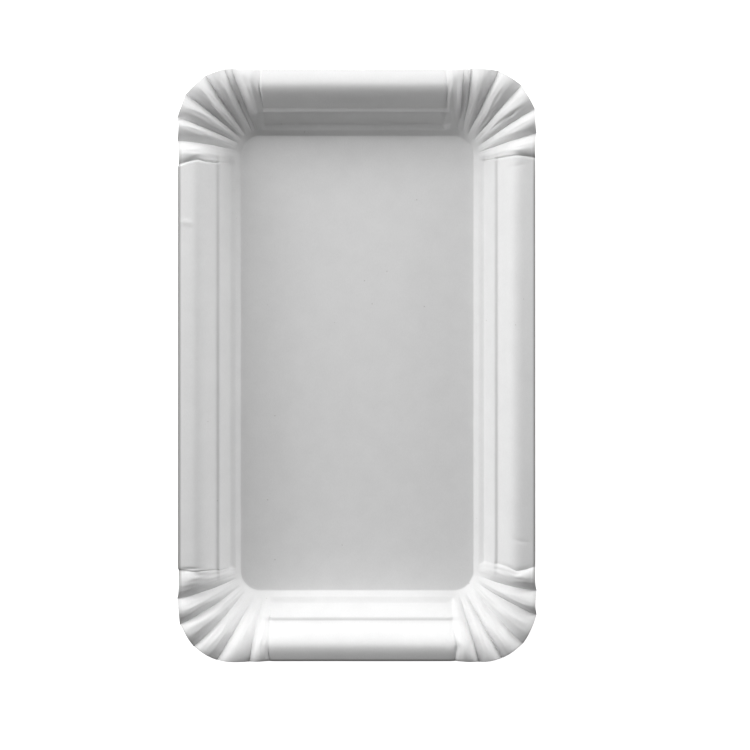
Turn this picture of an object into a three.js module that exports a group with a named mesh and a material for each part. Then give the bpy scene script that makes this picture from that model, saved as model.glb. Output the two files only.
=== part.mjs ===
// Rectangular plate pressed from one sheet of white board. A flat floor is ringed by a narrow bead
// and a ledge, a steep wall and a rolled rim. The rim gathers into a fan of pressed ribs at each corner.
import * as THREE from 'three';

// Everything is in millimetres. X is across the plate, Y along it, and Z up from what it stands on.
const plateWidth = 108.1;
const plateLength = 178.9;
const boardThickness = 0.45;

// Corner radii of the floor and of the rim, seen from above.
const floorCornerRadius = 6.4;
const rimCornerRadius = 17;

// Section of a straight side, outwards from the edge of the floor: each step's run and rise.
const beadRun = 1.3;
const beadRise = 2;
const ledgeRun = 1.6;
const ledgeRise = 0.7;
const wallRun = 2.2;
const wallRise = 6;
const creaseRun = 0.9;
const creaseRise = 0.25;
const rollInnerRun = 6;
const rollRise = 5.35;
const rollOuterRun = 4.6;
const rollDrop = 1.25;
const lipRun = 0.3;
const lipDrop = 1.4;

// How far the roll rises straight before it rounds over to its crown, and how far it stays near level
// beyond it, as shares of their runs. The left roll has sprung back flatter, which lifts its lip.
const rollStraightShare = 0.3;
const rollCrownShare = 0.35;
const leftLipLift = 0.9;

// Section of a corner fan, from the bead outwards: one curve that rises, levels out and dips a little in
// the fan's middle, and rises higher and dips more beside the rolls.
const fanRise = 10.1;
const fanSweep = THREE.MathUtils.degToRad(100);
const fanEndRise = 10.5;
const fanEndSweep = THREE.MathUtils.degToRad(110);
const fanEndReach = 10;

// Ribs of the corner fans. They grow from nothing at the bead to full height at the rim, where each rib's
// crest is drawn in, and more so in mid corner. A rib narrower than the full width is lower in proportion.
const ribHeight = 2.1;
const ribGrowth = 3;
const fullRibWidth = 7;
const cornerFlare = 0.7;
const crestInset = 0.6;
const cornerInset = 0.5;

// How far along a roll its end fold's bow is felt, and how much of the roll's section that fold still has.
const foldBowReach = 8;
const foldFollow = 0.8;

// Each fan, from the long side to the short one: the corner's direction, the length over which each roll
// comes down to its end fold, how far that fold bows and by which share of the way to the rim it is
// straight again, how far the fan runs on past the corner's arc, and its ribs' widths at the rim and bead.
const fans = [
  {
    side: [1, 1],
    rollEnd: [1, 1.2],
    bow: [0.5, 0.1],
    bowEnd: [0.6, 0.6],
    rimRun: [9.9, 10.4],
    beadRun: [1.8, 3],
    rimRibs: [7.6, 7.4, 8, 7.9, 8, 2.4, 5.7],
    beadRibs: [2.3, 1.9, 2.5, 2.6, 1.9, 1.5, 4.2],
  },
  {
    side: [-1, 1],
    rollEnd: [1, 0.8],
    bow: [1.2, 0.6],
    bowEnd: [0.6, 0.6],
    rimRun: [11.9, 7.9],
    beadRun: [2, 1],
    rimRibs: [7.3, 6.9, 7.4, 8.1, 5.9, 2.1, 8.8],
    beadRibs: [3.1, 2.5, 1.8, 1.5, 2.5, 1.1, 2.6],
  },
  {
    side: [-1, -1],
    rollEnd: [0.8, 1.4],
    bow: [1.1, 0.3],
    bowEnd: [1, 0.6],
    rimRun: [10.7, 10.7],
    beadRun: [1.3, 3.2],
    rimRibs: [8.9, 7.7, 7.6, 7.8, 9.7, 6.3],
    beadRibs: [3.2, 2.8, 2.3, 3.1, 2.7, 2.5],
  },
  {
    side: [1, -1],
    rollEnd: [1.8, 1.8],
    bow: [1.6, 0.6],
    bowEnd: [0.6, 0.6],
    rimRun: [11.9, 7.5],
    beadRun: [2.5, 0.6],
    rimRibs: [7.6, 7.3, 9.4, 7.3, 7.2, 7.3],
    beadRibs: [3.4, 2.2, 2.2, 2.9, 2.2, 2.3],
  },
];

// How finely each curve is cut.
const ribSteps = 4;
const wallSteps = 2;
const rollInnerSteps = 3;
const rollOuterSteps = 3;
const bowSteps = 2;

const ledgeEdge = beadRun + ledgeRun;
const crownEdge = ledgeEdge + wallRun + creaseRun + rollInnerRun;
const rimWidth = crownEdge + rollOuterRun + lipRun;
const floorWidth = plateWidth - 2 * rimWidth;
const floorLength = plateLength - 2 * rimWidth;
const ledgeHeight = beadRise + ledgeRise;

// The section of a straight side as points of distance from the floor's edge and height above the floor.
function sideSection() {
  const points = [
    new THREE.Vector2(0, 0),
    new THREE.Vector2(beadRun, beadRise),
    new THREE.Vector2(ledgeEdge, ledgeHeight),
  ];
  const addRun = (curve, steps) => points.push(...curve.getPoints(steps).slice(1));
  const wallTop = new THREE.Vector2(ledgeEdge + wallRun, ledgeHeight + wallRise);
  const creaseEnd = new THREE.Vector2(wallTop.x + creaseRun, wallTop.y + creaseRise);
  const crown = new THREE.Vector2(creaseEnd.x + rollInnerRun, creaseEnd.y + rollRise);
  const rollEdge = new THREE.Vector2(crown.x + rollOuterRun, crown.y - rollDrop);
  const lip = new THREE.Vector2(rollEdge.x + lipRun, rollEdge.y - lipDrop);
  const straightRun = rollInnerRun * rollStraightShare;
  const straightRise = rollRise * straightRun / ((rollInnerRun + straightRun) / 2);
  const turnIn = new THREE.Vector2(creaseEnd.x + straightRun, creaseEnd.y + straightRise);
  const innerBend = new THREE.Vector2((turnIn.x + crown.x) / 2, crown.y);
  const outerBend = new THREE.Vector2(crown.x + rollOuterRun * rollCrownShare, crown.y);
  addRun(new THREE.LineCurve(points.at(-1), wallTop), wallSteps);
  addRun(new THREE.LineCurve(wallTop, creaseEnd), 1);
  addRun(new THREE.LineCurve(creaseEnd, turnIn), 1);
  addRun(new THREE.QuadraticBezierCurve(turnIn, innerBend, crown), rollInnerSteps);
  addRun(new THREE.QuadraticBezierCurve(crown, outerBend, rollEdge), rollOuterSteps);
  addRun(new THREE.LineCurve(rollEdge, lip), 1);
  return points;
}

// Running shares, from 0 to 1, at which the ribs of the given widths begin and end.
function foldShares(widths) {
  const total = widths.reduce((sum, width) => sum + width, 0);
  let along = 0;
  return [0, ...widths.map((width) => (along += width) / total)];
}

// A point on one corner's path, which runs straight up the long side, round the arc and along the short side.
function cornerPoint(fan, halfWidth, halfLength, radius, runs, share, push) {
  const arc = radius * Math.PI / 2;
  const along = share * (runs[0] + arc + runs[1]) - runs[0];
  const turn = THREE.MathUtils.clamp(along / radius, 0, Math.PI / 2);
  const before = Math.min(along, 0);
  const after = Math.max(along - arc, 0);
  const x = halfWidth - radius + (radius + push) * Math.cos(turn) - after;
  const y = halfLength - radius + (radius + push) * Math.sin(turn) + before;
  return new THREE.Vector2(x * fan.side[0], y * fan.side[1]);
}

// How near a place in a fan is to the fold at one of its ends, felt within its first and last rib, and which
// way and how strongly that fold bows there.
function foldAt(fan, rib, share) {
  if (rib === 0) {
    return { near: 1 - share, bow: new THREE.Vector2(0, fan.side[1] * fan.bow[0] * (1 - share)) };
  }
  const near = rib === fan.rimRibs.length - 1 ? share : 0;
  return { near, bow: new THREE.Vector2(fan.side[0] * fan.bow[1] * near, 0) };
}

// The stations of one fan. Each knows its points on the floor's edge, the bead and the rim, its rib's
// height there, and how near it is to the fan's ends.
function fanStations(fan) {
  const rimFolds = foldShares(fan.rimRibs);
  const beadFolds = foldShares(fan.beadRibs);
  const fanLength = fan.rimRibs.reduce((sum, width) => sum + width, 0);
  const stations = [];
  fan.rimRibs.forEach((width, rib) => {
    const fullness = Math.min(width / fullRibWidth, 1);
    for (let step = rib === 0 ? 0 : 1; step <= ribSteps; step += 1) {
      const share = step / ribSteps;
      const arch = 4 * share * (1 - share) * fullness;
      const rimShare = THREE.MathUtils.lerp(rimFolds[rib], rimFolds[rib + 1], share);
      const beadShare = THREE.MathUtils.lerp(beadFolds[rib], beadFolds[rib + 1], share);
      const midCorner = Math.sin(rimShare * Math.PI);
      const push = midCorner * cornerFlare - (crestInset + midCorner * cornerInset) * arch;
      const inner = (offset) => cornerPoint(fan, floorWidth / 2 + offset, floorLength / 2 + offset,
        floorCornerRadius + offset, fan.beadRun, beadShare, 0);
      const endDistance = Math.min(rimShare, 1 - rimShare) * fanLength;
      const fold = foldAt(fan, rib, share);
      stations.push({
        floor: inner(0),
        bead: inner(beadRun),
        rim: cornerPoint(fan, plateWidth / 2, plateLength / 2, rimCornerRadius, fan.rimRun, rimShare, push),
        rib: ribHeight * arch,
        roll: foldFollow * fold.near ** 2,
        lipLift: 0,
        fanEnd: 1 - THREE.MathUtils.smoothstep(endDistance, 0, fanEndReach),
        bow: fold.bow,
        bowEnd: fan.bowEnd[Math.round(rimShare)],
        rollEnd: fan.rollEnd[Math.round(rimShare)],
      });
    }
  });
  return stations;
}

// The stations along a straight side between two fans, close together where its roll meets each fold.
function sideStations(from, to) {
  const length = from.rim.distanceTo(to.rim);
  const endPlaces = (rollEnd) => {
    const ends = [rollEnd];
    for (let step = 1; step <= bowSteps; step += 1) {
      ends.push(THREE.MathUtils.lerp(rollEnd, foldBowReach, step / bowSteps));
    }
    return ends;
  };
  const farEnds = endPlaces(to.rollEnd).map((place) => length - place);
  const places = [...endPlaces(from.rollEnd), length / 2, ...farEnds.reverse()];
  const lipLift = from.rim.x < 0 && to.rim.x < 0 ? leftLipLift : 0;
  return places.map((place) => {
    const mix = (name) => from[name].clone().lerp(to[name], place / length);
    const fade = (distance) => Math.max(1 - distance / foldBowReach, 0);
    const bow = from.bow.clone().multiplyScalar(fade(place));
    bow.addScaledVector(to.bow, fade(length - place));
    const { bowEnd } = place < length / 2 ? from : to;
    return {
      floor: mix('floor'),
      bead: mix('bead'),
      rim: mix('rim'),
      rib: 0,
      roll: 1,
      lipLift,
      fanEnd: 1,
      bow,
      bowEnd,
    };
  });
}

// All stations round the plate, anticlockwise from the right side.
function plateStations() {
  const turned = fans.map((fan) => {
    const stations = fanStations(fan);
    return fan.side[0] * fan.side[1] > 0 ? stations : stations.reverse();
  });
  return turned.flatMap((stations, index) => {
    const next = turned[(index + 1) % turned.length];
    return [...stations, ...sideStations(stations.at(-1), next[0])];
  });
}

// The upper face at one station: a point for each point of the section.
function stationPoints(station, section) {
  return section.map((point) => {
    const share = Math.max((point.x - beadRun) / (rimWidth - beadRun), 0);
    const middle = beadRise + fanRise * Math.sin(fanSweep * share);
    const end = beadRise + fanEndRise * Math.sin(fanEndSweep * share);
    const fanHeight = share > 0 ? THREE.MathUtils.lerp(middle, end, station.fanEnd) : point.y;
    const grown = 1 - (1 - share) ** ribGrowth;
    const pastCrown = Math.max((point.x - crownEdge) / (rimWidth - crownEdge), 0);
    const height = THREE.MathUtils.lerp(fanHeight, point.y, station.roll) + station.rib * grown
      + station.lipLift * pastCrown ** 2;
    const place = point.x > 0 ? station.bead.clone().lerp(station.rim, share) : station.floor.clone();
    const shift = -Math.sin(Math.PI * Math.min(share / station.bowEnd, 1));
    place.addScaledVector(station.bow, shift);
    return new THREE.Vector3(place.x, place.y, boardThickness + height);
  });
}

// The lower face: the upper one moved in by the board's thickness, square to the surface.
function lowerFace(upper) {
  const beadHalfAngle = Math.atan2(beadRise, beadRun) / 2;
  const mitre = boardThickness * Math.tan(beadHalfAngle);
  return upper.map((row, index) => {
    const before = upper.at(index - 1);
    const after = upper[(index + 1) % upper.length];
    return row.map((point, step) => {
      if (step === 0) {
        const outwards = row[1].clone().sub(point).setZ(0).setLength(mitre);
        return point.clone().add(outwards).setZ(0);
      }
      const around = after[step].clone().sub(before[step]);
      const across = row[Math.min(step + 1, row.length - 1)].clone().sub(row[step - 1]);
      const inwards = around.cross(across).setLength(boardThickness);
      return point.clone().add(inwards);
    });
  });
}

// The closed sheet: both faces, the cut edge along the lip, and both sides of the floor.
function plateGeometry() {
  const section = sideSection();
  const upper = plateStations().map((station) => stationPoints(station, section));
  const lower = lowerFace(upper);
  const rows = section.length;
  const count = upper.length;
  const corner = (face, station, step) => (face * count + (station % count)) * rows + step;
  const indices = [];
  const addQuad = (a, b, c, d) => indices.push(a, b, c, a, c, d);
  for (let station = 0; station < count; station += 1) {
    for (let step = 0; step < rows - 1; step += 1) {
      addQuad(corner(0, station, step), corner(0, station, step + 1),
        corner(0, station + 1, step + 1), corner(0, station + 1, step));
      addQuad(corner(1, station, step), corner(1, station + 1, step),
        corner(1, station + 1, step + 1), corner(1, station, step + 1));
    }
    addQuad(corner(1, station, rows - 1), corner(1, station + 1, rows - 1),
      corner(0, station + 1, rows - 1), corner(0, station, rows - 1));
  }
  [upper, lower].forEach((face, side) => {
    const outline = face.map((row) => new THREE.Vector2(row[0].x, row[0].y));
    for (const [a, b, c] of THREE.ShapeUtils.triangulateShape(outline, [])) {
      const turn = side === 0 ? [a, b, c] : [a, c, b];
      indices.push(...turn.map((station) => corner(side, station, 0)));
    }
  });
  const geometry = new THREE.BufferGeometry().setFromPoints([...upper.flat(), ...lower.flat()]);
  geometry.setIndex(indices);
  geometry.computeVertexNormals();
  return geometry;
}

const whiteBoard = new THREE.MeshStandardMaterial({ color: 0xf2f2f0, roughness: 0.55, metalness: 0 });
const plate = new THREE.Mesh(plateGeometry(), whiteBoard);
plate.name = 'plate';

const group = new THREE.Group();
group.add(plate);

export default group;
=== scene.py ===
import bisect
import math
import random

import bpy
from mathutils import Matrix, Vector, noise


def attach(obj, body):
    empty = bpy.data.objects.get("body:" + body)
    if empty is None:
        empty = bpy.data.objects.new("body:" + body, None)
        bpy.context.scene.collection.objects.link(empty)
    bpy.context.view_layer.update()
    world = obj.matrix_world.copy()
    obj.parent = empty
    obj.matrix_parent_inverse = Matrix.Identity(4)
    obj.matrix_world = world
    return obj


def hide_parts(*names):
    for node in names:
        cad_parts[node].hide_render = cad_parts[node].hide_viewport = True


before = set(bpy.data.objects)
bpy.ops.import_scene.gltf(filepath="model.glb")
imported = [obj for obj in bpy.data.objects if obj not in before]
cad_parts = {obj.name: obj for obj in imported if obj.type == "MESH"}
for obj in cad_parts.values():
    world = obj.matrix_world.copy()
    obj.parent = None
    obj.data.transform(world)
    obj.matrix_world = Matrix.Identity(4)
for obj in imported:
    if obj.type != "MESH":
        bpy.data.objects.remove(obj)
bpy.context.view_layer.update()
print("frame loaded")

mm = 0.001  # all the plate's own values below are in millimetres

plateShape = {
    "width": 108.1,  # across the rolled sides
    "length": 178.9,
    "board": 0.45,  # thickness of the sheet
    "floorCorner": 6.4,
    "rimCorner": 17,
    # section of a straight side, outwards from the floor's edge: run and rise of each step
    "bead": (1.3, 2.0),
    "ledge": (1.6, 0.7),
    "wall": (2.2, 6.0),
    "crease": (0.9, 0.25),
    "rollInner": (6.0, 5.35),
    "rollOuter": (4.6, -1.25),
    "lip": (0.3, -1.4),
    "rollStraightShare": 0.3,  # of the inner roll's run, before it rounds over to the crown
    "rollCrownShare": 0.35,
    "leftLipLift": 0.9,  # the left roll has sprung back a little flatter
    "bendSoftness": 0.13,  # how far the press rounds each bend
    # section of a corner fan, from the bead outwards: in its middle, and beside the rolls
    "fanRise": 10.1,
    "fanSweep": math.radians(100),
    "fanEndRise": 10.5,
    "fanEndSweep": math.radians(110),
    "fanEndReach": 10,
    "ribHeight": 2.1,
    "ribGrowth": 3.0,  # how soon a rib reaches its height on its way out
    "ribUnevenness": 0.15,
    "ribLean": 0.2,  # how far a crest may lie off the middle of its rib
    "fullRib": 7,  # a narrower rib is lower in proportion
    "cornerFlare": 0.7,
    "crestInset": 0.6,  # how far each rib's crest is drawn in at the rim, and how much more in mid corner
    "cornerInset": 0.5,
    "foldBowReach": 8,
    "foldFollow": 0.8,  # how much of the roll's section the folds at the fans' ends still have
    "floorBorder": 0.8,  # flat strip kept between the floor's edge and the open floor
    "edgeShadeWidth": 0.65,  # width of the painted shade along the cut
    "edgeShadeSharpness": 12,  # how abruptly it ends
    "litFarEnd": (0.55, 0.95),  # where the painted edge shade starts to thin out towards the far end, which faces the lamps, and where that is full, in half lengths
    "litFarShare": 0.9,  # how much of the painted edge shade is left off there
    "fanEdgeShade": 0.2,  # how much of the painted edge shade shows in the fans
    "creaseShade": 0.25,  # strength of the painted shade in the crease
    "creaseFalloff": 4,  # how soon that painted shade fades beside the crease
    "waveHeight": 0.05,  # slow unevenness of the pressed board, fullest on the rim
    "waveLength": 9,
    "pullHeight": 0.3,  # fine lines where the board was pulled together in the fans
    "pullWidth": 1.3,
    "pullBreaks": 3,  # how often a line changes on its way to the rim
    "pullDetail": 0.5,  # strength of a second layer of lines, twice as fine
    "foldWander": 0.35,
    "creaseReach": 3,  # a small crease has faded out this many of its lengths away
    "seed": 7,
}

# Small creases left in the rim by the press: where, which way they run, how long and wide they are, and how
# deep. A negative depth is a ridge.
creases = [
    {"at": (-51.0, 42.9), "angle": -17, "length": 1.9, "width": 0.4, "depth": -0.4},
    {"at": (-50.2, -61.0), "angle": 2, "length": 2.6, "width": 0.45, "depth": 0.35},
    {"at": (48.5, 60.0), "angle": 12, "length": 2.6, "width": 0.5, "depth": 0.12},
    {"at": (48.7, -52.6), "angle": -14, "length": 2.8, "width": 0.5, "depth": 0.16},
    {"at": (46.9, 75.7), "angle": 40, "length": 1.1, "width": 0.4, "depth": 0.5},
    {"at": (43.0, 73.6), "angle": 33, "length": 2.4, "width": 0.35, "depth": 0.35},
    {"at": (30.0, -85.0), "angle": 58, "length": 1.3, "width": 0.45, "depth": 0.3},
    {"at": (27.0, -83.1), "angle": 90, "length": 1.5, "width": 0.55, "depth": 0.15},
    {"at": (18.3, -82.5), "angle": 95, "length": 1.2, "width": 0.55, "depth": 0.12},
]

plateMesh = {
    "rows": 42,
    "ribSteps": 18,
    "rollEndSteps": 6,
    "sideStep": 0.75,
    "endCrowding": 0.6,  # side stations stand closer together near the fans
    "sampleStep": 0.04,
    "bendWeight": 2.5,  # extra rows where the section turns
    "mergeDistance": 0.001,
    "floorTolerance": 0.01,  # what lies this little above the floor still counts as its edge
    "floorInset": 0.6,  # narrow faces along the floor's edge, so that its shading stays even
    "smoothAngle": math.radians(40),  # a sharper bend keeps a hard edge
}

# Each corner's fan, from the long side to the short side: over what length each roll comes down to its end
# fold, how far that fold bows and by which share of the way to the rim it is straight again, how far the fan
# runs past the corner's arc, and its ribs' widths at the rim and at the bead.
fans = [
    {
        "side": (1, 1),
        "rollEnd": (1.0, 1.2),
        "bow": (0.5, 0.1),
        "bowEnd": (0.6, 0.6),
        "rimRun": (9.9, 10.4),
        "beadRun": (1.8, 3.0),
        "rimRibs": (7.6, 7.4, 8.0, 7.9, 8.0, 2.4, 5.7),
        "beadRibs": (2.3, 1.9, 2.5, 2.6, 1.9, 1.5, 4.2),
    },
    {
        "side": (-1, 1),
        "rollEnd": (1.0, 0.8),
        "bow": (1.2, 0.6),
        "bowEnd": (0.6, 0.6),
        "rimRun": (11.9, 7.9),
        "beadRun": (2.0, 1.0),
        "rimRibs": (7.3, 6.9, 7.4, 8.1, 5.9, 2.1, 8.8),
        "beadRibs": (3.1, 2.5, 1.8, 1.5, 2.5, 1.1, 2.6),
    },
    {
        "side": (-1, -1),
        "rollEnd": (0.8, 1.4),
        "bow": (1.1, 0.3),
        "bowEnd": (1.0, 0.6),
        "rimRun": (10.7, 10.7),
        "beadRun": (1.3, 3.2),
        "rimRibs": (8.9, 7.7, 7.6, 7.8, 9.7, 6.3),
        "beadRibs": (3.2, 2.8, 2.3, 3.1, 2.7, 2.5),
    },
    {
        "side": (1, -1),
        "rollEnd": (1.8, 1.8),
        "bow": (1.6, 0.6),
        "bowEnd": (0.6, 0.6),
        "rimRun": (11.9, 7.5),
        "beadRun": (2.5, 0.6),
        "rimRibs": (7.6, 7.3, 9.4, 7.3, 7.2, 7.3),
        "beadRibs": (3.4, 2.2, 2.2, 2.9, 2.2, 2.3),
    },
]


def mix(a, b, share):
    return a + (b - a) * share


def eased(share):
    share = min(max(share, 0), 1)
    return share * share * (3 - 2 * share)


def sideSection(shape):
    # a straight side as points of (distance from the floor's edge, height)
    points = [(-shape["floorBorder"], 0.0), (0.0, 0.0)]
    for step in ("bead", "ledge", "wall", "crease"):
        run, rise = shape[step]
        points.append((points[-1][0] + run, points[-1][1] + rise))
    start = points[-1]
    crown = (start[0] + shape["rollInner"][0], start[1] + shape["rollInner"][1])
    edge = (crown[0] + shape["rollOuter"][0], crown[1] + shape["rollOuter"][1])
    straight = shape["rollStraightShare"]
    slope = (crown[1] - start[1]) / (crown[0] - start[0]) / (straight + (1 - straight) / 2)
    turnIn = (mix(start[0], crown[0], straight), start[1] + slope * straight * (crown[0] - start[0]))
    points += curved(turnIn, ((turnIn[0] + crown[0]) / 2, crown[1]), crown)
    points += curved(crown, (mix(crown[0], edge[0], shape["rollCrownShare"]), crown[1]), edge)[1:]
    points.append((edge[0] + shape["lip"][0], edge[1] + shape["lip"][1]))
    return points


def curved(start, bend, end, steps=24):
    # points from start to end, leaving and arriving along the lines to the bend
    points = []
    for step in range(steps + 1):
        t = step / steps
        points.append(tuple(mix(mix(a, b, t), mix(b, c, t), t) for a, b, c in zip(start, bend, end)))
    return points


def resample(points, step):
    # evenly spaced points along a polyline
    lengths = [0.0]
    for a, b in zip(points, points[1:]):
        lengths.append(lengths[-1] + math.dist(a, b))
    count = round(lengths[-1] / step)
    return [valueAt(points, lengths, lengths[-1] * i / count) for i in range(count + 1)]


def valueAt(points, lengths, place):
    index = min(max(bisect.bisect_left(lengths, place) - 1, 0), len(lengths) - 2)
    share = (place - lengths[index]) / (lengths[index + 1] - lengths[index])
    return tuple(mix(a, b, share) for a, b in zip(points[index], points[index + 1]))


def softened(points, spread):
    # each point becomes the weighted mean of its neighbours, which rounds the bends; the ends stay put
    reach = 3 * spread  # what is further off would weigh almost nothing
    result = []
    for i, point in enumerate(points):
        span = int(min(reach, i, len(points) - 1 - i))
        total = 0.0
        sums = [0.0] * len(point)
        for offset in range(-span, span + 1):
            weight = math.exp(-0.5 * (offset / spread) ** 2)
            total += weight
            for axis, value in enumerate(points[i + offset]):
                sums[axis] += weight * value
        result.append(tuple(value / total for value in sums))
    return result


def sectionRows(shape, mesh):
    # rows of (distance, height on a side, height in a fan's middle, height at a fan's ends), closer together
    # where the section turns
    root, rootHeight = shape["bead"]
    points = sideSection(shape)
    rimWidth = points[-1][0]
    dense = []
    for x, z in resample(points, mesh["sampleStep"]):
        share = (x - root) / (rimWidth - root)
        heights = [z, z, z]
        if share > 0:
            heights[1] = rootHeight + shape["fanRise"] * math.sin(shape["fanSweep"] * share)
            heights[2] = rootHeight + shape["fanEndRise"] * math.sin(shape["fanEndSweep"] * share)
        dense.append((x, *heights))
    dense = softened(dense, shape["bendSoftness"] / mesh["sampleStep"])
    costs = [0.0]
    for i in range(1, len(dense)):
        step = math.dist(dense[i][:2], dense[i - 1][:2])
        turn = 0.0
        if i + 1 < len(dense):
            before = Vector(dense[i][:2]) - Vector(dense[i - 1][:2])
            after = Vector(dense[i + 1][:2]) - Vector(dense[i][:2])
            turn = abs(before.angle_signed(after))
        costs.append(costs[-1] + step + turn * mesh["bendWeight"])
    return [valueAt(dense, costs, costs[-1] * i / mesh["rows"]) for i in range(mesh["rows"] + 1)], rimWidth


def cornerPoint(fan, half, radius, runs, share, push=0.0):
    # a point on a corner's path: up the long side, round the arc and along the short side
    arc = radius * math.pi / 2
    along = share * (runs[0] + arc + runs[1]) - runs[0]
    turn = min(max(along / radius, 0), math.pi / 2)
    x = half[0] - radius + (radius + push) * math.cos(turn) - max(along - arc, 0)
    y = half[1] - radius + (radius + push) * math.sin(turn) + min(along, 0)
    return Vector((x * fan["side"][0], y * fan["side"][1]))


def foldShares(widths):
    shares = [0.0]
    for width in widths:
        shares.append(shares[-1] + width / sum(widths))
    return shares


def fanStations(fan, shape, mesh, innerRows, rimWidth, chance):
    halfFloor = (shape["width"] / 2 - rimWidth, shape["length"] / 2 - rimWidth)
    rimFolds = foldShares(fan["rimRibs"])
    beadFolds = foldShares(fan["beadRibs"])
    rimLength = sum(fan["rimRibs"])
    count = len(fan["rimRibs"])
    stations = []
    for rib in range(count):
        height = shape["ribHeight"] * (1 + chance.uniform(-1, 1) * shape["ribUnevenness"])
        height *= min(fan["rimRibs"][rib] / shape["fullRib"], 1)
        lean = math.exp(chance.uniform(-1, 1) * shape["ribLean"])
        for step in range(0 if rib == 0 else 1, mesh["ribSteps"] + 1):
            t = step / mesh["ribSteps"]
            arch = 4 * t ** lean * (1 - t ** lean)  # 0 at the folds and 1 at the crest
            rimShare = mix(rimFolds[rib], rimFolds[rib + 1], t)
            beadShare = mix(beadFolds[rib], beadFolds[rib + 1], t)
            inset = (shape["crestInset"] + shape["cornerInset"] * math.sin(rimShare * math.pi)) * arch
            push = math.sin(rimShare * math.pi) * shape["cornerFlare"] - inset * height / shape["ribHeight"]
            inner = []
            for x in innerRows:
                half = (halfFloor[0] + x, halfFloor[1] + x)
                inner.append(cornerPoint(fan, half, shape["floorCorner"] + x, fan["beadRun"], beadShare))
            half = (shape["width"] / 2, shape["length"] / 2)
            rim = cornerPoint(fan, half, shape["rimCorner"], fan["rimRun"], rimShare, push)
            bow = Vector((0, 0))
            nearFold = 0
            if rib == 0:
                nearFold = 1 - t
                bow = Vector((0, fan["side"][1])) * nearFold * fan["bow"][0]
            elif rib == count - 1:
                nearFold = t
                bow = Vector((fan["side"][0], 0)) * nearFold * fan["bow"][1]
            endDistance = min(rimShare, 1 - rimShare) * rimLength
            stations.append({
                "inner": inner, "rim": rim, "rib": height * arch, "bow": bow,
                "roll": shape["foldFollow"] * nearFold ** 2,
                "fanEnd": eased(1 - endDistance / shape["fanEndReach"]),
                "around": rimShare * rimLength, "lipLift": 0.0,
                "rollEnd": fan["rollEnd"][round(rimShare)], "bowEnd": fan["bowEnd"][round(rimShare)],
            })
    return stations


def sideStations(start, end, shape, mesh):
    # between two fans; close together where the roll meets the first fold at each end
    length = (end["rim"] - start["rim"]).length
    steps = [(i + 1) / mesh["rollEndSteps"] for i in range(mesh["rollEndSteps"])]
    middle = length - start["rollEnd"] - end["rollEnd"]
    count = round(middle / mesh["sideStep"])
    places = [start["rollEnd"] * step for step in steps]
    for i in range(1, count):
        crowded = i / count - mesh["endCrowding"] * math.sin(2 * math.pi * i / count) / (2 * math.pi)
        places.append(start["rollEnd"] + middle * crowded)
    places += [length - end["rollEnd"] * step for step in reversed(steps)]
    left = start["rim"].x < 0 and end["rim"].x < 0
    stations = []
    for place in places:
        share = place / length
        reach = min(place / start["rollEnd"], (length - place) / end["rollEnd"], 1)
        bow = start["bow"] * max(1 - place / shape["foldBowReach"], 0)
        bow = bow + end["bow"] * max(1 - (length - place) / shape["foldBowReach"], 0)
        stations.append({
            "inner": [a.lerp(b, share) for a, b in zip(start["inner"], end["inner"])],
            "rim": start["rim"].lerp(end["rim"], share),
            "roll": mix(shape["foldFollow"], 1, 1 - (1 - reach) ** 2),
            "rib": 0.0, "bow": bow, "fanEnd": 1.0, "around": None,
            "lipLift": shape["leftLipLift"] * eased(reach) if left else 0.0,
            "bowEnd": (start if share < 0.5 else end)["bowEnd"],
        })
    return stations


def platePlaces(shape, mesh):
    # the upper face of the sheet: lines of points from the floor to the rim, all round the plate. With them
    # come each row's distance from the floor's edge, and how much of the roll's section each line has.
    rows, rimWidth = sectionRows(shape, mesh)
    root = shape["bead"][0]
    crown = rimWidth - shape["rollOuter"][0] - shape["lip"][0]
    innerRows = [row[0] for row in rows if row[0] <= root] + [root]
    chance = random.Random(shape["seed"])
    turned = []
    for fan in fans:
        stations = fanStations(fan, shape, mesh, innerRows, rimWidth, chance)
        turned.append(stations if fan["side"][0] * fan["side"][1] > 0 else stations[::-1])
    ring = []
    for index, stations in enumerate(turned):
        following = turned[(index + 1) % len(turned)]
        ring += stations + sideStations(stations[-1], following[0], shape, mesh)
    places = []
    for station in ring:
        line = []
        for row, (x, side, fanMiddle, fanEnd) in enumerate(rows):
            share = max((x - root) / (rimWidth - root), 0)
            grown = 1 - (1 - share) ** shape["ribGrowth"]
            flat = station["inner"][-1].lerp(station["rim"], share) if share > 0 else station["inner"][row]
            flat = flat - station["bow"] * math.sin(math.pi * min(share / station["bowEnd"], 1))
            fan = mix(fanMiddle, fanEnd, station["fanEnd"])
            height = mix(fan, side, station["roll"]) + station["rib"] * grown
            height += station["lipLift"] * max((x - crown) / (rimWidth - crown), 0) ** 2
            height += pressUnevenness(flat, share, shape)
            if station["around"] is not None and share > 0:
                flat, height = pulledBoard(flat, height, share, station["around"], shape)
            line.append(Vector((flat.x, flat.y, height + shape["board"])))
        places.append(line)
    return places, [row[0] for row in rows], [station["roll"] for station in ring]


def pulledBoard(flat, height, share, around, shape):
    # in the fans the folds wander a little, and fine lines run out to the rim with them
    wander = shape["foldWander"] * math.sin(math.pi * share)
    wave = Vector((flat.x, flat.y, 0)) / shape["waveLength"]
    elsewhere = wave + Vector((0, 0, 5))  # so the two directions wander apart
    flat = flat + Vector((noise.noise(wave), noise.noise(elsewhere))) * wander
    line = Vector((around / shape["pullWidth"], shape["pullBreaks"] * share, 0))
    fine = noise.noise(line) + shape["pullDetail"] * noise.noise(line * 2)
    return flat, height + shape["pullHeight"] * fine * math.sin(math.pi * share) ** 0.5


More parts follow.
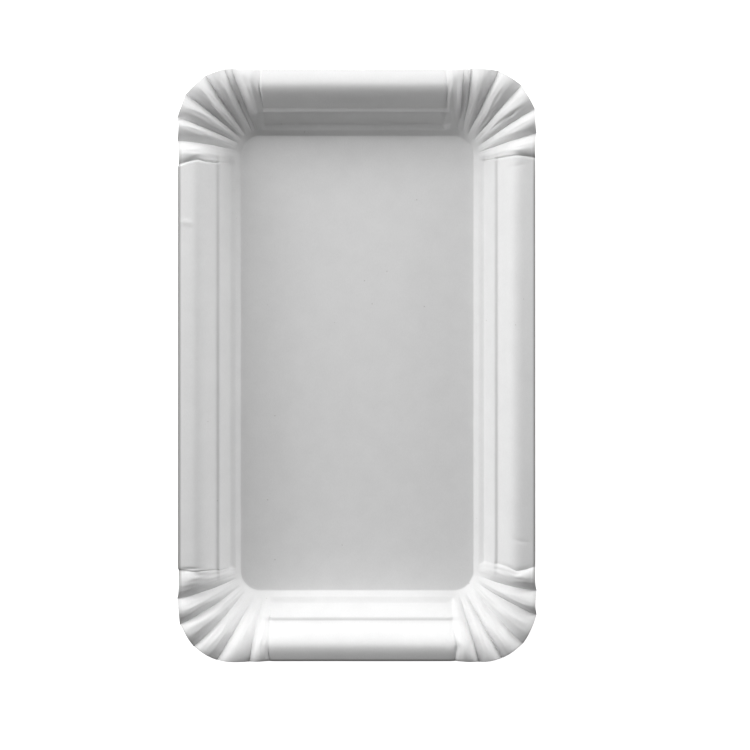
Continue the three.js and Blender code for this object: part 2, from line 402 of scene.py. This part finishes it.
def pressUnevenness(flat, share, shape):
    # lowers the creases and lifts the slow waves; the floor stays flat
    height = shape["waveHeight"] * share * noise.noise(Vector((*flat, shape["seed"])) / shape["waveLength"])
    for crease in creases:
        away = flat - Vector(crease["at"])
        if away.length < shape["creaseReach"] * crease["length"]:
            turn = math.radians(crease["angle"])
            along = away.x * math.cos(turn) + away.y * math.sin(turn)
            across = away.y * math.cos(turn) - away.x * math.sin(turn)
            fade = (along / crease["length"]) ** 2 + (across / crease["width"]) ** 2
            height -= crease["depth"] * math.exp(-fade)
    return height


def makePlate():
    places, rowPlaces, rolls = platePlaces(plateShape, plateMesh)
    around, across = len(places), len(places[0]) - 1
    bpy.ops.object.select_all(action="DESELECT")
    # a flat strip of board, wrapped round the plate
    bpy.ops.mesh.primitive_grid_add(x_subdivisions=around, y_subdivisions=across, size=1)
    plate = bpy.context.active_object
    plate.name = "pressedPlate"
    # painted shade, kept per point: darker along the shaded cut edge and in the crease
    paintedShade = plate.data.attributes.new("paintedShade", "FLOAT", "POINT")
    creaseStart = sum(plateShape[step][0] for step in ("bead", "ledge", "wall"))
    creaseMiddle = creaseStart + plateShape["crease"][0] / 2
    litStart, litFull = (share * plateShape["length"] / 2 for share in plateShape["litFarEnd"])
    for vert in plate.data.vertices:
        station = round((vert.co.x + 0.5) * around) % around
        row = round((vert.co.y + 0.5) * across)
        vert.co = places[station][row] * mm
        rim = places[station][-1]
        toRim = (rim - places[station][row]).to_2d().length
        # the far end faces the lamps, so its cut gets less painted shade
        shadeLifted = plateShape["litFarShare"] * eased((rim.y - litStart) / (litFull - litStart))
        edgeShade = (1 - shadeLifted) * mix(plateShape["fanEdgeShade"], 1, rolls[station])
        edgeShade *= 1 - min(toRim / plateShape["edgeShadeWidth"], 1) ** plateShape["edgeShadeSharpness"]
        # painted shade in the crease, where the groove lies in shadow
        toCrease = (rowPlaces[row] - creaseMiddle) / plateShape["crease"][0]
        creaseShading = plateShape["creaseShade"] * math.exp(-plateShape["creaseFalloff"] * toCrease ** 2)
        paintedShade.data[vert.index].value = max(edgeShade, creaseShading * rolls[station])
    bpy.ops.object.mode_set(mode="EDIT")
    bpy.ops.mesh.select_all(action="SELECT")
    bpy.ops.mesh.remove_doubles(threshold=plateMesh["mergeDistance"] * mm)
    bpy.ops.mesh.select_all(action="DESELECT")
    bpy.ops.mesh.select_mode(type="EDGE")
    bpy.ops.mesh.select_non_manifold()
    bpy.ops.object.mode_set(mode="OBJECT")
    floorHeight = (plateShape["board"] + plateMesh["floorTolerance"]) * mm
    for edge in plate.data.edges:
        edge.select = edge.select and all(plate.data.vertices[i].co.z < floorHeight for i in edge.vertices)
    bpy.ops.object.mode_set(mode="EDIT")
    bpy.ops.mesh.edge_face_add()  # the floor
    bpy.ops.mesh.inset(thickness=plateMesh["floorInset"] * mm)
    bpy.ops.mesh.select_all(action="SELECT")
    bpy.ops.mesh.normals_make_consistent(inside=False)
    bpy.ops.object.mode_set(mode="OBJECT")
    if sum(face.normal.z * face.area for face in plate.data.polygons) < 0:
        plate.data.flip_normals()
    thickness = plate.modifiers.new("board", "SOLIDIFY")
    thickness.thickness = plateShape["board"] * mm
    thickness.offset = -1  # downwards from the face that was shaped
    bpy.ops.object.modifier_apply(modifier=thickness.name)
    bpy.ops.object.shade_smooth_by_angle(angle=plateMesh["smoothAngle"])
    print("plate", len(plate.data.vertices), "points")
    return plate


def addNode(tree, kind, **values):
    node = tree.nodes.new(kind)
    for name, value in values.items():
        if name in node.inputs:
            node.inputs[name].default_value = value
        else:
            setattr(node, name, value)
    return node


def layOver(tree, mask, below, colour):
    # the colour over what is below, as far as the mask lets it; the colour sockets go by their numbers
    layer = addNode(tree, "ShaderNodeMix", data_type="RGBA")
    tree.links.new(mask, layer.inputs[0])
    tree.links.new(below, layer.inputs[6])
    layer.inputs[7].default_value = colour
    return layer.outputs[2]


boardFinish = {
    "pale": (0.815, 0.815, 0.815, 1),
    "dull": (0.775, 0.775, 0.775, 1),
    "toneRange": (0.35, 0.62),  # of the mottling, from dull to pale
    "clouds": {"Scale": 130, "Detail": 3.0, "Roughness": 0.6},  # slow mottling, about 8 mm
    "fibres": {"Scale": 2600, "Detail": 4.0, "Roughness": 0.65},  # pulp fibres, about 0.4 mm
    "fibreStretch": (1.0, 0.45, 1.0),  # most of them lie along the plate
    "fibreShare": 0.5,  # of the mottling, the rest being clouds
    "fibreHeight": 0.03,
    "speck": (0.6, 0.595, 0.58, 1),
    "speckScale": 420,
    "speckSize": (0.05, 0.11),  # share of a cell: a speck's solid middle and its faded edge
    "rareSpeck": 0.975,  # share of the cells that stay clean
    # colour of the painted shade along the cut edge and in the crease
    "paintedShade": (0.22, 0.218, 0.214, 1),
    "roughness": (0.42, 0.58),
}


def whiteBoard():
    finish = boardFinish
    material = bpy.data.materials.new("whiteBoard")
    material.use_nodes = True
    tree = material.node_tree
    links = tree.links
    surface = tree.nodes["Principled BSDF"]
    place = addNode(tree, "ShaderNodeTexCoord")
    clouds = addNode(tree, "ShaderNodeTexNoise", **finish["clouds"])
    fibres = addNode(tree, "ShaderNodeTexNoise", **finish["fibres"])
    stretch = addNode(tree, "ShaderNodeMapping", Scale=finish["fibreStretch"])
    specks = addNode(tree, "ShaderNodeTexVoronoi", Scale=finish["speckScale"])
    links.new(place.outputs["Object"], clouds.inputs["Vector"])
    links.new(place.outputs["Object"], stretch.inputs["Vector"])
    links.new(stretch.outputs["Vector"], fibres.inputs["Vector"])
    links.new(place.outputs["Object"], specks.inputs["Vector"])

    # colour: cloudy white with fine fibres, a few darker specks, and painted shade along the cut edge and in
    # the crease
    grain = addNode(tree, "ShaderNodeMix", data_type="FLOAT")
    grain.inputs["Factor"].default_value = finish["fibreShare"]
    links.new(clouds.outputs["Fac"], grain.inputs["A"])
    links.new(fibres.outputs["Fac"], grain.inputs["B"])
    white = addNode(tree, "ShaderNodeValToRGB")
    dullEnd, paleEnd = white.color_ramp.elements
    dullEnd.position, paleEnd.position = finish["toneRange"]
    dullEnd.color = finish["dull"]
    paleEnd.color = finish["pale"]
    links.new(grain.outputs["Result"], white.inputs["Fac"])
    speckSize = addNode(tree, "ShaderNodeMapRange", clamp=True)
    speckSize.inputs["From Min"].default_value = finish["speckSize"][0]
    speckSize.inputs["From Max"].default_value = finish["speckSize"][1]
    speckSize.inputs["To Min"].default_value = 1.0
    speckSize.inputs["To Max"].default_value = 0.0
    links.new(specks.outputs["Distance"], speckSize.inputs["Value"])
    rare = addNode(tree, "ShaderNodeMath", operation="GREATER_THAN")
    rare.inputs[1].default_value = finish["rareSpeck"]
    split = addNode(tree, "ShaderNodeSeparateColor")
    links.new(specks.outputs["Color"], split.inputs["Color"])
    links.new(split.outputs["Red"], rare.inputs[0])
    speckMask = addNode(tree, "ShaderNodeMath", operation="MULTIPLY")
    links.new(speckSize.outputs["Result"], speckMask.inputs[0])
    links.new(rare.outputs["Value"], speckMask.inputs[1])
    speckled = layOver(tree, speckMask.outputs["Value"], white.outputs["Color"], finish["speck"])
    # mask of the painted shade along the cut edge and in the crease
    edge = addNode(tree, "ShaderNodeAttribute", attribute_name="paintedShade")
    withPaintedShade = layOver(tree, edge.outputs["Fac"], speckled, finish["paintedShade"])
    links.new(withPaintedShade, surface.inputs["Base Color"])

    # finish: a thin coating, so the sheen varies with the pulp below it
    shine = addNode(tree, "ShaderNodeMapRange")
    shine.inputs["To Min"].default_value, shine.inputs["To Max"].default_value = finish["roughness"]
    links.new(fibres.outputs["Fac"], shine.inputs["Value"])
    links.new(shine.outputs["Result"], surface.inputs["Roughness"])
    bump = addNode(tree, "ShaderNodeBump", Strength=1.0, Distance=finish["fibreHeight"] * mm)
    links.new(fibres.outputs["Fac"], bump.inputs["Height"])
    links.new(bump.outputs["Normal"], surface.inputs["Normal"])
    print("board finished")
    return material


studio = {  # in metres
    "floorSize": 4,
    "floorDrop": 0.0003,  # below the plate's underside
    "floorColour": (0.7, 0.7, 0.7, 1),
    "floorRoughness": 0.9,
    "backdrop": (1, 1, 1, 1),
    "glow": 1.0,  # of the floor and the backdrop, as the camera sees them
    "distance": 0.9,
    "lampSize": 0.5,
    "lamps": {  # azimuth 0 is the far side and 90 the left; both angles in degrees
        "far": {"azimuth": 0, "elevation": 5, "watts": 1.85},
        "farHigh": {"azimuth": 0, "elevation": 65, "watts": 2.0},
        "farLeftLow": {"azimuth": 45, "elevation": 12, "watts": 1.9},
        "farLeft": {"azimuth": 45, "elevation": 30, "watts": 3.55},
        "farRightLow": {"azimuth": -45, "elevation": 12, "watts": 3.2},
        "farRight": {"azimuth": -45, "elevation": 32, "watts": 1.3},
        "left": {"azimuth": 90, "elevation": 16, "watts": 2.9},
        "right": {"azimuth": -90, "elevation": 15, "watts": 1.35},
    },
}


def glowForCamera(tree, strength):
    # seen by the camera alone, so it doesn't light the plate
    seen = addNode(tree, "ShaderNodeLightPath")
    glow = addNode(tree, "ShaderNodeMath", operation="MULTIPLY")
    glow.inputs[1].default_value = studio["glow"]
    tree.links.new(seen.outputs["Is Camera Ray"], glow.inputs[0])
    tree.links.new(glow.outputs["Value"], strength)


def makeStage():
    bpy.ops.mesh.primitive_plane_add(size=studio["floorSize"], location=(0, 0, -studio["floorDrop"]))
    stage = bpy.context.active_object
    stage.name = "paleFloor"
    material = bpy.data.materials.new("paleFloor")
    material.use_nodes = True
    surface = material.node_tree.nodes["Principled BSDF"]
    surface.inputs["Base Color"].default_value = studio["floorColour"]
    surface.inputs["Roughness"].default_value = studio["floorRoughness"]
    surface.inputs["Emission Color"].default_value = studio["backdrop"]
    glowForCamera(material.node_tree, surface.inputs["Emission Strength"])
    stage.data.materials.append(material)


def makeLamps():
    for name, lamp in studio["lamps"].items():
        azimuth = math.radians(lamp["azimuth"])
        elevation = math.radians(lamp["elevation"])
        level = math.cos(elevation)
        direction = Vector((-math.sin(azimuth) * level, math.cos(azimuth) * level, math.sin(elevation)))
        bpy.ops.object.light_add(type="AREA", location=direction * studio["distance"])
        light = bpy.context.active_object
        light.name = name
        light.rotation_euler = direction.to_track_quat("Z", "Y").to_euler()
        light.data.shape = "DISK"
        light.data.size = studio["lampSize"]
        light.data.energy = lamp["watts"]
    world = bpy.data.worlds.new("studio")
    bpy.context.scene.world = world
    world.use_nodes = True
    backdrop = world.node_tree.nodes["Background"]
    backdrop.inputs["Color"].default_value = studio["backdrop"]
    glowForCamera(world.node_tree, backdrop.inputs["Strength"])


camera = {
    "place": (0.9, 12.7),  # over the plate, a little beyond its middle
    "height": 233.45,
    "lens": 35.05,
    "sensor": 36,
    "shift": (0.02, -0.069),
    "nearest": 10,  # nothing closer to the lens is drawn
}


def makeCamera():
    x, y = camera["place"]
    bpy.ops.object.camera_add(location=(x * mm, y * mm, camera["height"] * mm))
    view = bpy.context.active_object
    view.data.lens = camera["lens"]
    view.data.sensor_width = camera["sensor"]
    view.data.shift_x, view.data.shift_y = camera["shift"]
    view.data.clip_start = camera["nearest"] * mm
    bpy.context.scene.camera = view
    bpy.context.scene.view_settings.view_transform = "Standard"


plate = makePlate()
plate.data.materials.clear()
plate.data.materials.append(whiteBoard())
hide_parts("plate")
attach(plate, "root")
makeStage()
makeLamps()
makeCamera()
print("studio made")
